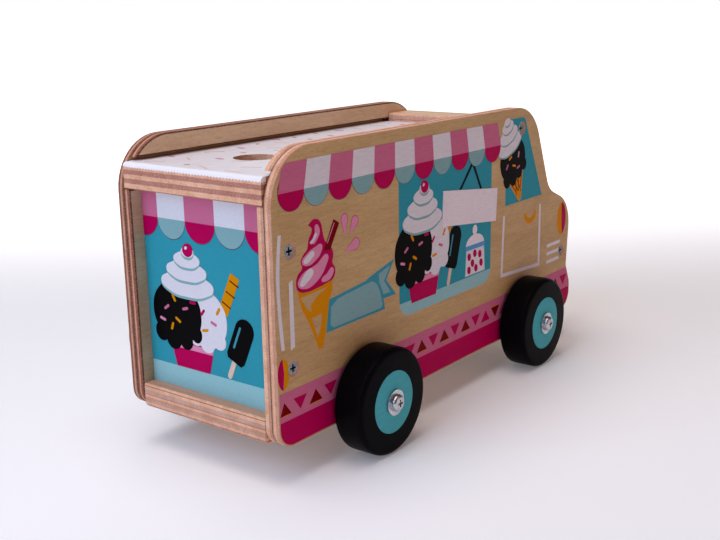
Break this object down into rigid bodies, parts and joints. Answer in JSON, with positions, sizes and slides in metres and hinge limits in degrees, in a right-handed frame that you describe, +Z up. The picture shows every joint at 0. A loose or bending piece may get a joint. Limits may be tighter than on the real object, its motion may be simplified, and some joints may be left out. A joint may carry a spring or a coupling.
{
  "type": "toy ice cream truck",
  "caption": "Wooden toy ice cream truck: a plywood box body with rounded ends, a roof board that slides out to the rear, and wheels that turn on wood screws.",
  "frame": {"origin": "on the floor, below the middle of the toy's box", "axes": "+X forward, +Y to the truck's left, +Z up"},
  "size_m": [0.266, 0.1314, 0.144],
  "materials": {
    "plywood": "birch plywood with a satin clear coat",
    "printed_board": "plywood printed in satin ink",
    "white_paint": "plywood with satin white paint",
    "black_paint": "turned wood with satin black paint",
    "zinc_steel": "bright zinc plate"
  },
  "bodies": {
    "truck_body": {"right_side_panel": "plywood", "left_side_panel": "plywood", "right_inner_panel": "plywood", "left_inner_panel": "plywood", "floor_board": "plywood", "rear_board": "printed_board", "front_board": "plywood", "bonnet_board": "plywood", "windscreen_board": "printed_board", "roof_crossbar": "plywood", "rear_right_wheel_screw": "zinc_steel", "rear_left_wheel_screw": "zinc_steel", "front_right_wheel_screw": "zinc_steel", "front_left_wheel_screw": "zinc_steel", "rear_right_washers": "zinc_steel", "rear_left_washers": "zinc_steel", "front_right_washers": "zinc_steel", "front_left_washers": "zinc_steel", "right_panel_screws": "zinc_steel", "left_panel_screws": "zinc_steel"},
    "roof_slide": {"sliding_roof": "white_paint"},
    "rear_right_wheel_body": {"rear_right_wheel": "black_paint"},
    "rear_left_wheel_body": {"rear_left_wheel": "black_paint"},
    "front_right_wheel_body": {"front_right_wheel": "black_paint"},
    "front_left_wheel_body": {"front_left_wheel": "black_paint"}
  },
  "joints": [
    {"name": "roof_slides_rearwards", "type": "slide", "parent": "truck_body", "child": "roof_slide", "axis": [-1, 0, 0], "range_m": [0, 0.17]},
    {"name": "rear_right_wheel_spin", "type": "hinge", "parent": "truck_body", "child": "rear_right_wheel_body", "pos_m": [-0.074, -0.0546, 0.025], "axis": [0, 1, 0], "continuous": true},
    {"name": "rear_left_wheel_spin", "type": "hinge", "parent": "truck_body", "child": "rear_left_wheel_body", "pos_m": [-0.074, 0.0546, 0.025], "axis": [0, 1, 0], "continuous": true},
    {"name": "front_right_wheel_spin", "type": "hinge", "parent": "truck_body", "child": "front_right_wheel_body", "pos_m": [0.071, -0.0546, 0.025], "axis": [0, 1, 0], "continuous": true},
    {"name": "front_left_wheel_spin", "type": "hinge", "parent": "truck_body", "child": "front_left_wheel_body", "pos_m": [0.071, 0.0546, 0.025], "axis": [0, 1, 0], "continuous": true}
  ]
}
